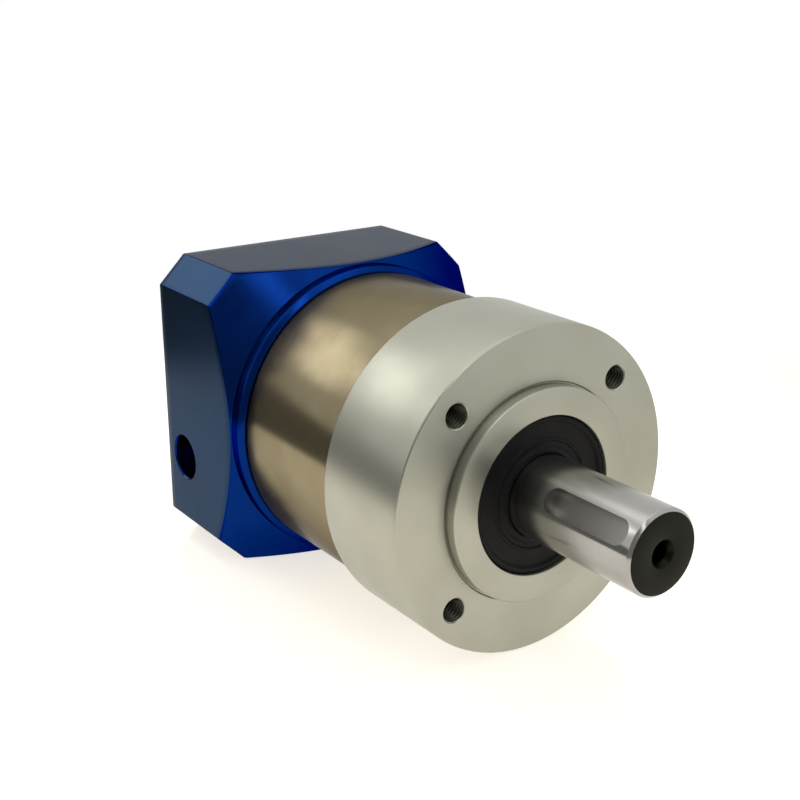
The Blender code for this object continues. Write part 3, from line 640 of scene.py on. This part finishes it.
def make_output_housing(materials):
    """The output housing with its pilot, undercut and tapped holes."""
    outside = FLANGE_RADIUS - ROUNDING_ROOM
    section = [
        (26.0, 3.0, 0.55), (26.0, 0.35), (25.55, 0.1), (25.6, -0.3), (26.3, -0.3), (26.6, 0.0),
        (outside, 0.0, 0.8), (outside, -27.85, 0.35), (30.6, -27.85), (30.6, -30.4), (28.8, -30.4),
        (28.8, -32.6), (30.6, -32.6), (30.6, -36.4, 0.4), (23.8, -36.4, 0.4), (23.8, -35.2),
        (24.9, -35.2), (24.9, -33.5), (23.8, -33.5), (23.8, -6.7), (17.5, -6.7), (17.5, -4.8),
        (19.3, -4.8), (19.3, 3.0, 0.3),
    ]
    housing = turned("output_housing_fine", section, 216)
    tools = []
    for index in range(4):
        x, y = polar(OUTPUT_HOLE_CIRCLE, tau * (index + 0.5) / 4)
        tools.append(threaded_tool(f"output_thread_{index}", *M6_THREAD, OUTPUT_HOLE_DEPTH, 0.0,
                                   placed(x, y, 0.0)))
        x, y = polar(TIE_CIRCLE, tau * index / 4)
        hole = [(0.0, -29.0), (TIE_HOLE_RADIUS, -29.0), (TIE_HOLE_RADIUS, -13.0), (0.0, -12.0)]
        tools.append(turned(f"tie_tap_{index}", hole, 32, placed(x, y, 0.0), loop=False))
    carve(housing, joined("housing_tools", tools))
    finish_piece(housing, "housing", ["output_housing"],
                 [materials["bare_aluminium"], materials["bore_painted_shade"]])
    centres = [gear_axis() @ Vector((*polar(OUTPUT_HOLE_CIRCLE, tau * (index + 0.5) / 4), 0.0))
               for index in range(4)]
    inside_mouth = along_axis(-0.4)
    # The tapped holes' walls take the near-black copy of the aluminium: painted shade inside the holes.
    for face in housing.data.polygons:
        centre = face.center
        nearest = min(hypot(centre.y - hole.y, centre.z - hole.z) for hole in centres)
        tapped = nearest < 3.3 * MM and along_axis(-15.0) < centre.x < inside_mouth
        face.material_index = 1 if tapped else 0
    return housing


# ---------------------------------------------------------------- output shaft

def slot_outline(length, width, steps=20):
    """A slot with round ends, along X."""
    radius = width / 2
    reach = length / 2 - radius
    outline = []
    for side, start in ((1, -pi / 2), (-1, pi / 2)):
        for step in range(steps + 1):
            angle = start + pi * step / steps
            outline.append((side * reach + radius * cos(angle), radius * sin(angle)))
    return outline


def make_output_shaft(materials):
    """The output shaft and planet carrier."""
    section = [
        (0.0, 24.6), (2.5, 26.0), (2.5, 38.6), (3.3, SHAFT_TIP, 0.1), (9.3, SHAFT_TIP, 0.15),
        (SHAFT_RADIUS, 39.3, 0.2), (SHAFT_RADIUS, -3.4), (12.1, -3.4, 0.1),
        (JOURNAL_RADIUS, -3.8, 0.15), (JOURNAL_RADIUS, -5.3), (11.8, -5.3), (11.8, -6.85),
        (JOURNAL_RADIUS, -6.85), (JOURNAL_RADIUS, -33.3), (14.6, -33.3, 0.3), (14.6, -37.1, 0.8),
        (27.0, -37.1, 0.8), (27.0, -66.3, 0.8), (9.0, -66.3, 0.3), (9.0, -41.3), (0.0, -41.3),
    ]
    shaft = turned("output_shaft_fine", section, 192, loop=False)
    tilt = Matrix.Rotation(pi / 2, 4, "Y")
    slot = prism("keyway_tool", slot_outline(KEYWAY_LENGTH, KEYWAY_WIDTH), 6.5, 12.0,
                 placed(0.0, 0.0, KEYWAY_MIDDLE, KEYWAY_ANGLE, tilt))
    carve(shaft, slot)
    centres = [polar(PLANET_ORBIT, KEYWAY_ANGLE + tau * index / 3) for index in range(3)]
    pockets = []
    pin_holes = []
    for index, (x, y) in enumerate(centres):
        pocket = [(0.0, -62.3), (12.6, -62.3), (12.6, -41.3), (0.0, -41.3)]
        pockets.append(turned(f"pocket_{index}", pocket, 96, placed(x, y, 0.0), loop=False))
        hole = [(0.0, -67.3), (4.2, -67.3), (4.2, -39.3), (0.0, -39.3)]
        pin_holes.append(turned(f"pin_hole_{index}", hole, 48, placed(x, y, 0.0), loop=False))
    carve(shaft, joined("pockets", pockets))
    carve(shaft, joined("pin_holes", pin_holes))
    finish_piece(shaft, "output", ["output_shaft"],
                 [materials["ground_steel"], materials["dark_end"], materials["milled_steel"]])
    end_x = along_axis(39.9)
    centre_reach = (3.5 * MM) ** 2
    keyway_reach = (7.0 * MM) ** 2
    for face in shaft.data.polygons:
        centre = face.center
        radius_squared = centre.y ** 2 + centre.z ** 2
        if centre.x > end_x and face.normal.x > 0.9:
            face.material_index = 1
        # The centre hole's walls are painted near-black: painted shade inside the hole.
        elif centre.x > along_axis(24.0) and radius_squared < centre_reach:
            face.material_index = 1
        elif along_axis(12.0) < centre.x < along_axis(38.0) and radius_squared < keyway_reach:
            face.material_index = 2
    return shaft


# ---------------------------------------------------------------- seals, rings and bearings

def make_seals(materials):
    """Shaft seals with a moulded face, a ring of ridges, a dust lip and a main lip."""
    seals = (("output_seal", 2.3, -4.5, SHAFT_RADIUS), ("input_seal", -87.7, -82.1, JOURNAL_RADIUS))
    for name, front, rear, running in seals:
        way = 1 if front > rear else -1
        depth = abs(front - rear)
        back = running + 2.1
        face = [
            (19.0, 0.0, 0.45), (19.0, -depth, 0.3), (17.2, -depth, 0.2), (17.2, -1.9, 0.4),
            (back, -1.9, 0.3), (back, -4.6, 0.4), (running + 0.75, -4.6, 0.2),
            (running + 0.15, -3.6, 0.1), (running + 0.6, -2.4, 0.2), (running + 0.5, -0.9, 0.2),
            (running + 0.2, 0.0, 0.1), (running + 1.3, 0.0, 0.3), (running + 1.9, -0.7, 0.3),
            (running + 2.8, -0.7, 0.2), (running + 3.1, -0.35, 0.15), (running + 3.5, -0.35, 0.15),
            (running + 3.8, -0.7, 0.2), (17.3, -0.7, 0.3), (17.9, 0.0, 0.2),
        ]
        section = [(radius, front + way * height, *corner) for radius, height, *corner in face]
        seal = turned(name + "_fine", section, 160)
        finish_piece(seal, "housing", [name], materials["nitrile_rubber"])


def make_plain_turned(materials):
    """Spacer rings, O-rings, bushes, pins and thrust washers."""
    rings = {
        "outer_spacer_ring": ("housing", "ground_steel",
                              [(23.4, -19.15, 0.2), (23.4, -20.85, 0.2), (20.6, -20.85, 0.2),
                               (20.6, -19.15, 0.2)]),
        "inner_spacer_ring": ("output", "ground_steel",
                              [(15.2, -19.15, 0.2), (15.2, -20.85, 0.2), (12.75, -20.85, 0.2),
                               (12.75, -19.15, 0.2)]),
    }
    for name, (body, slot, section) in rings.items():
        ring = turned(name + "_fine", section, 128)
        finish_piece(ring, body, [name], materials[slot])
    for name, middle in (("o_ring_front", -31.5), ("o_ring_rear", -65.9)):
        section = [(29.92 + 0.72 * cos(tau * side / 16), middle + 0.72 * sin(tau * side / 16))
                   for side in range(16)]
        ring = turned(name + "_fine", section, 160)
        finish_piece(ring, "housing", [name], materials["nitrile_rubber"])
    for index in range(3):
        x, y = polar(PLANET_ORBIT, KEYWAY_ANGLE + tau * index / 3)
        spot = placed(x, y, 0.0)
        number = index + 1
        bush = turned(f"planet_bush_{number}_fine",
                      [(5.3, GEAR_FRONT, 0.25), (5.3, GEAR_REAR, 0.25), (4.25, GEAR_REAR, 0.25),
                       (4.25, GEAR_FRONT, 0.25)], 64, spot)
        finish_piece(bush, f"planet_{number}", [f"planet_bush_{number}"],
                     materials["bronze"])
        pin = turned(f"planet_pin_{number}_fine",
                     [(0.0, -39.5), (4.0, -39.5, 0.4), (4.0, -66.0, 0.4), (0.0, -66.0)], 64, spot,
                     loop=False)
        finish_piece(pin, "output", [f"planet_pin_{number}"],
                     materials["bearing_steel"])
        for side, top in (("front", -41.4), ("rear", -61.7)):
            washer = turned(f"thrust_washer_{side}_{number}_fine",
                            [(8.0, top, 0.12), (8.0, top - 0.5, 0.12), (4.35, top - 0.5, 0.12),
                             (4.35, top, 0.12)], 64, spot)
            finish_piece(washer, "output", [f"thrust_washer_{side}_{number}"],
                         materials["bronze"])


def make_gears(materials):
    """Planet gears and the sun pinion."""
    pitch = MODULE * PLANET_TEETH / 2
    outline = tooth_outline(PLANET_TEETH, pitch + 1.2, pitch - 1.5, 0.05)
    for index in range(3):
        angle = KEYWAY_ANGLE + tau * index / 3
        x, y = polar(PLANET_ORBIT, angle)
        turn = angle + pi + (SUN_TEETH * (angle - KEYWAY_ANGLE) - pi) / PLANET_TEETH
        gear = prism(f"planet_gear_{index + 1}_fine", outline, GEAR_REAR, GEAR_FRONT,
                     placed(x, y, 0.0, turn), bevel=0.2)
        bore = turned("planet_bore", [(0.0, -62.5), (5.5, -62.5), (5.5, -41.1), (0.0, -41.1)], 72,
                      placed(x, y, 0.0), loop=False)
        carve(gear, bore)
        finish_piece(gear, f"planet_{index + 1}", [f"planet_gear_{index + 1}"],
                     materials["gear_steel"], sharp=22)
    pitch = MODULE * SUN_TEETH / 2
    outline = tooth_outline(SUN_TEETH, pitch + 1.2, pitch - 1.5, 0.05)
    sun = prism("sun_gear_fine", outline, -66.5, GEAR_FRONT, placed(0, 0, 0, KEYWAY_ANGLE), bevel=0.2)
    shank = turned("sun_shank", [(0.0, -77.9), (5.2, -77.9, 0.2), (5.5, -77.3), (5.5, -62.3),
                                 (0.0, -62.3)], 64, loop=False)
    carve(sun, shank, "UNION")
    finish_piece(sun, "input", ["sun_gear"], materials["gear_steel"], sharp=22)


def make_bearing(materials, name, front, width, bore, outside, balls, ball_radius, bodies):
    """A deep groove ball bearing: two races, and the balls in their ribbon cage."""
    rear = front - width
    middle = (front + rear) / 2
    orbit = (bore + outside) / 2
    land = (outside - bore) / 2 * 0.42
    reach = ball_radius + 0.25
    edge = 0.5

    def groove(way):
        points = []
        for step in range(-5, 6):
            angle = radians(40) * step / 5
            points.append((orbit + way * reach * cos(angle), middle - reach * sin(angle)))
        return points

    inner_side = [(orbit - land, front, 0.15)] + groove(-1) + [(orbit - land, rear, 0.15)]
    inner = inner_side + [(bore + 0.25, rear, edge), (bore + 0.25, front, edge)]
    outer_side = [(orbit + land, rear, 0.15)] + list(reversed(groove(1))) + [(orbit + land, front, 0.15)]
    outer = [(outside, front, edge), (outside, rear, edge)] + outer_side
    housing_body, shaft_body, ball_body = bodies
    race = turned(name + "_inner_fine", inner, 128)
    finish_piece(race, shaft_body, [name + "_inner"], materials["bearing_steel"])
    race = turned(name + "_outer_fine", outer, 128)
    finish_piece(race, housing_body, [name + "_outer"], materials["bearing_steel"])
    half = width * 0.3
    ring = turned(name + "_balls_fine",
                  [(orbit + 0.5, middle + half, 0.2), (orbit + 0.5, middle - half, 0.2),
                   (orbit - 0.5, middle - half, 0.2), (orbit - 0.5, middle + half, 0.2)], 120)
    shape = bmesh.new()
    for index in range(balls):
        x, y = polar(orbit, tau * (index + 0.5) / balls)
        bmesh.ops.create_uvsphere(shape, u_segments=28, v_segments=16, radius=ball_radius,
                                  matrix=Matrix.Translation((x, y, middle)))
    ball_set = mesh_object(name + "_set", shape, gear_axis())
    carve(ring, ball_set, "UNION")
    finish_piece(ring, ball_body, [name + "_balls"],
                 [materials["bearing_cage"], materials["bearing_steel"]])
    spots = [Vector((*polar(orbit, tau * (index + 0.5) / balls), middle)) for index in range(balls)]
    spots = [gear_axis() @ spot for spot in spots]
    for face in ring.data.polygons:
        nearest = min((face.center - spot).length for spot in spots)
        face.material_index = 1 if abs(nearest - ball_radius * MM) < 0.06 * MM else 0


# ---------------------------------------------------------------- input side and screws

def make_input_side(materials):
    """The input hub, clamp ring and clamp screw."""
    section = [
        (0.0, -78.3), (5.8, -78.3), (5.8, -68.9, 0.3), (12.5, -68.9, 0.4), (12.5, -69.85),
        (11.8, -69.85), (11.8, -71.15), (12.5, -71.15), (12.5, -80.6), (14.0, -80.6, 0.2),
        (14.0, -81.7, 0.2), (12.5, -81.7), (12.5, -88.6, 0.4), (11.0, -88.6), (11.0, -106.5, 0.4),
        (7.6, -106.5, 0.1), (7.0, -105.9, 0.1), (7.0, -79.7), (0.0, -79.7),
    ]
    hub = turned("input_hub_fine", section, 160, loop=False)
    for turn in (pi / 4, 3 * pi / 4):
        slit = [(-12.0, -0.6), (12.0, -0.6), (12.0, 0.6), (-12.0, 0.6)]
        carve(hub, prism("hub_slit", slit, -107.5, -92.0, placed(0, 0, 0, turn)))
    finish_piece(hub, "input", ["input_hub"], materials["ground_steel"])
    edge = 0.6
    ring = turned("clamp_ring_fine",
                  [(20.0, -94.0, edge), (20.0, -106.0, edge), (11.3, -106.0, 0.3),
                   (11.3, -94.0, 0.3)], 160)
    slit = [(9.3, -0.8), (21.0, -0.8), (21.0, 0.8), (9.3, 0.8)]
    carve(ring, prism("clamp_slit", slit, -107.0, -93.0))
    tilt = Matrix.Rotation(pi / 2, 4, "X")
    spot = placed(CLAMP_SCREW_OFFSET, 0.0, ACCESS_HEIGHT, tilt=tilt)
    hole = turned("clamp_hole", [(0.0, -20.0), (2.6, -20.0), (2.6, 6.5), (4.6, 6.5), (4.6, 20.0),
                                 (0.0, 20.0)], 64, spot, loop=False)
    carve(ring, hole)
    finish_piece(ring, "input", ["clamp_ring"], materials["milled_steel"])
    screw = socket_screw("clamp_screw_fine", 2.4, -8.0, 4.25, 6.7, 5.0, 2.31, 2.6, spot)
    finish_piece(screw, "clamp_screw", ["clamp_screw"], materials["black_steel"])


def socket_screw(name, shank, tip, head, seat, head_height, socket, socket_depth, matrix):
    """A socket head screw with a rounded head rim, a hex socket and a chamfered tip."""
    top = seat + head_height
    section = [
        (0.0, top), (head - 1.2, top, 0.1), (head, top, 0.45), (head, seat, 0.15), (shank, seat, 0.2),
        (shank, tip + 0.5, 0.1), (shank - 0.5, tip), (0.0, tip),
    ]
    screw = turned(name, section, 64, matrix, loop=False)
    hexagon = [polar(socket, tau * side / 6) for side in range(6)]
    carve(screw, prism(name + "_socket", hexagon, top - socket_depth, top + 1.0, matrix))
    return screw


def make_tie_screws(materials):
    """The four long tie screws."""
    for index in range(4):
        x, y = polar(TIE_CIRCLE, tau * index / 4)
        turn_over = Matrix.Rotation(pi, 4, "X")
        screw = socket_screw(f"tie_screw_{index + 1}_fine", 1.95, 14.0, 3.5, 92.3, 4.0, 1.75, 2.2,
                             placed(x, y, 0.0, tilt=turn_over))
        finish_piece(screw, "housing", [f"tie_screw_{index + 1}"],
                     materials["black_steel"])


def finish_circlips(materials):
    """The circlips keep their CAD shapes and get their finish."""
    for name in ("housing_circlip", "flange_circlip", "shaft_circlip", "hub_circlip"):
        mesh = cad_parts[name].data
        mesh.materials.clear()
        mesh.materials.append(materials["spring_steel"])


# ---------------------------------------------------------------- stage

def make_floor():
    """A pale, partly self-lit round floor that fades out into the white background."""
    shape = bmesh.new()
    bmesh.ops.create_circle(shape, cap_ends=True, segments=96, radius=0.9)
    bmesh.ops.translate(shape, vec=(0, 0, FLOOR_Z - 0.0002), verts=shape.verts)
    stage = mesh_object("floor", shape)
    nodes = Nodes("pale_floor")
    shader = nodes.shader
    shader.inputs["Base Color"].default_value = (0.50, 0.475, 0.43, 1.0)
    shader.inputs["Roughness"].default_value = 0.16
    shader.inputs["Emission Color"].default_value = (1.0, 0.955, 0.88, 1.0)
    split = nodes.add("ShaderNodeSeparateXYZ")
    nodes.link(nodes.place, split.inputs[0])
    # The glow is painted weaker from about 0.1 m to the right of the gear, 0.75 down to 0.36: a painted
    # dimming of the floor where the metal reflects it.
    beyond = nodes.math("ADD", nodes.math("MULTIPLY", split.outputs[0], 0.578),
                        nodes.math("MULTIPLY", split.outputs[1], 0.816))
    nodes.link(nodes.spread(beyond, 0.75, 0.36, 0.095, 0.15), shader.inputs["Emission Strength"])
    away = nodes.add("ShaderNodeVectorMath", operation="LENGTH")
    nodes.link(nodes.place, away.inputs[0])
    fade = nodes.spread(away.outputs["Value"], 1.0, 0.0, 0.225, 0.265)
    nodes.link(fade, shader.inputs["Alpha"])
    stage.data.materials.append(nodes.material)


def add_area(name, place, aim, size, power, colour=(1.0, 1.0, 1.0)):
    """A soft rectangular light."""
    data = bpy.data.lights.new(name, "AREA")
    data.shape = "RECTANGLE"
    data.size, data.size_y = size
    data.energy = power
    data.color = colour
    obj = bpy.data.objects.new(name, data)
    bpy.context.scene.collection.objects.link(obj)
    obj.location = place
    obj.rotation_euler = (Vector(aim) - Vector(place)).to_track_quat("-Z", "Y").to_euler()
    obj.visible_camera = False
    return obj


def make_world():
    """A studio: a dark band to the left, a softbox above it, and a dim side with one strip."""
    general, box_gain, dark_share = 0.95, 1.95, 0.78
    near_share, strip_gain = 0.68, 2.6
    world = bpy.data.worlds.new("studio")
    bpy.context.scene.world = world
    world.use_nodes = True
    tree = world.node_tree
    tree.nodes.clear()

    def add(kind, **settings):
        node = tree.nodes.new(kind)
        for key, value in settings.items():
            setattr(node, key, value)
        return node

    def calc(operation, first, second=None):
        node = add("ShaderNodeMath", operation=operation)
        for socket, value in zip(node.inputs, (first, second)):
            if value is None:
                continue
            if isinstance(value, (int, float)):
                socket.default_value = value
            else:
                tree.links.new(value, socket)
        return node.outputs[0]

    def window(value, low, high, soft):
        """1 between low and high, falling to 0 over soft on each side."""
        rise = add("ShaderNodeMapRange", interpolation_type="SMOOTHSTEP")
        rise.inputs["From Min"].default_value = low - soft
        rise.inputs["From Max"].default_value = low
        tree.links.new(value, rise.inputs["Value"])
        drop = add("ShaderNodeMapRange", interpolation_type="SMOOTHSTEP")
        drop.inputs["From Min"].default_value = high
        drop.inputs["From Max"].default_value = high + soft
        drop.inputs["To Min"].default_value = 1.0
        drop.inputs["To Max"].default_value = 0.0
        tree.links.new(value, drop.inputs["Value"])
        return calc("MULTIPLY", rise.outputs[0], drop.outputs[0])

    place = add("ShaderNodeTexCoord")
    split = add("ShaderNodeSeparateXYZ")
    tree.links.new(place.outputs["Generated"], split.inputs[0])
    x, y, z = split.outputs
    left = window(y, -1.2, -0.30, 0.30)
    behind = window(x, -1.2, -0.2, 0.4)
    dark = calc("MULTIPLY", calc("MULTIPLY", window(z, -0.50, 0.09, 0.07), left), behind)
    box = calc("MULTIPLY", window(z, 0.40, 0.62, 0.09), window(y, -0.52, -0.10, 0.12))
    box = calc("MULTIPLY", box, behind)
    facing = calc("MULTIPLY", window(x, 0.25, 1.2, 0.25), window(y, -1.2, -0.05, 0.2))
    strip = calc("MULTIPLY", window(y, -0.21, -0.12, 0.04), window(z, 0.0, 0.9, 0.1))
    near = calc("SUBTRACT", near_share, calc("MULTIPLY", strip, strip_gain))
    level = calc("ADD", general, calc("MULTIPLY", box, box_gain))
    level = calc("MULTIPLY", level, calc("SUBTRACT", 1.0, calc("MULTIPLY", dark, dark_share)))
    level = calc("MULTIPLY", level, calc("SUBTRACT", 1.0, calc("MULTIPLY", facing, near)))
    studio = add("ShaderNodeBackground")
    studio.inputs["Color"].default_value = (1.0, 0.99, 0.97, 1.0)
    tree.links.new(level, studio.inputs["Strength"])
    backdrop = add("ShaderNodeBackground")
    backdrop.inputs["Color"].default_value = (1.0, 1.0, 1.0, 1.0)
    backdrop.inputs["Strength"].default_value = 1.0
    path = add("ShaderNodeLightPath")
    mix = add("ShaderNodeMixShader")
    tree.links.new(path.outputs["Is Camera Ray"], mix.inputs[0])
    tree.links.new(studio.outputs[0], mix.inputs[1])
    tree.links.new(backdrop.outputs[0], mix.inputs[2])
    output = add("ShaderNodeOutputWorld")
    tree.links.new(mix.outputs[0], output.inputs["Surface"])


def make_camera():
    """The camera, at the photograph's viewing angle."""
    back = Vector((sin(CAMERA_AZIMUTH) * cos(CAMERA_ELEVATION),
                   -cos(CAMERA_AZIMUTH) * cos(CAMERA_ELEVATION), sin(CAMERA_ELEVATION)))
    right = Vector((cos(CAMERA_AZIMUTH), sin(CAMERA_AZIMUTH), 0.0))
    up = back.cross(right)
    data = bpy.data.cameras.new("camera")
    data.lens = CAMERA_LENS
    data.clip_start = 0.01
    camera = bpy.data.objects.new("camera", data)
    bpy.context.scene.collection.objects.link(camera)
    target = Vector(CAMERA_TARGET) + right * CAMERA_PAN[0] + up * CAMERA_PAN[1]
    camera.location = target + back * CAMERA_DISTANCE
    camera.rotation_euler = (-back).to_track_quat("-Z", "Y").to_euler()
    bpy.context.scene.camera = camera


def make_stage():
    """Floor, light and camera."""
    make_floor()
    make_world()
    add_area("overhead", (0.05, -0.05, 0.75), (0.0, 0.0, 0.0), (0.9, 0.9), 2.0)
    bpy.context.scene.view_settings.view_transform = "Standard"
    make_camera()


def main():
    """Build every fine piece, then the stage."""
    materials = make_materials()
    make_output_housing(materials)
    make_ring_gear(materials)
    make_motor_flange(materials)
    make_output_shaft(materials)
    make_seals(materials)
    make_input_side(materials)
    make_tie_screws(materials)
    make_plain_turned(materials)
    make_gears(materials)
    make_bearing(materials, "output_bearing_front", -7.0, 12.0, 12.5, 23.5, 9, 3.1,
                 ("housing", "output", "front_balls"))
    make_bearing(materials, "output_bearing_rear", -21.0, 12.0, 12.5, 23.5, 9, 3.1,
                 ("housing", "output", "rear_balls"))
    make_bearing(materials, "input_bearing", -71.3, 9.0, 12.5, 21.0, 10, 2.3,
                 ("housing", "input", "input_balls"))
    finish_circlips(materials)
    make_stage()


main()
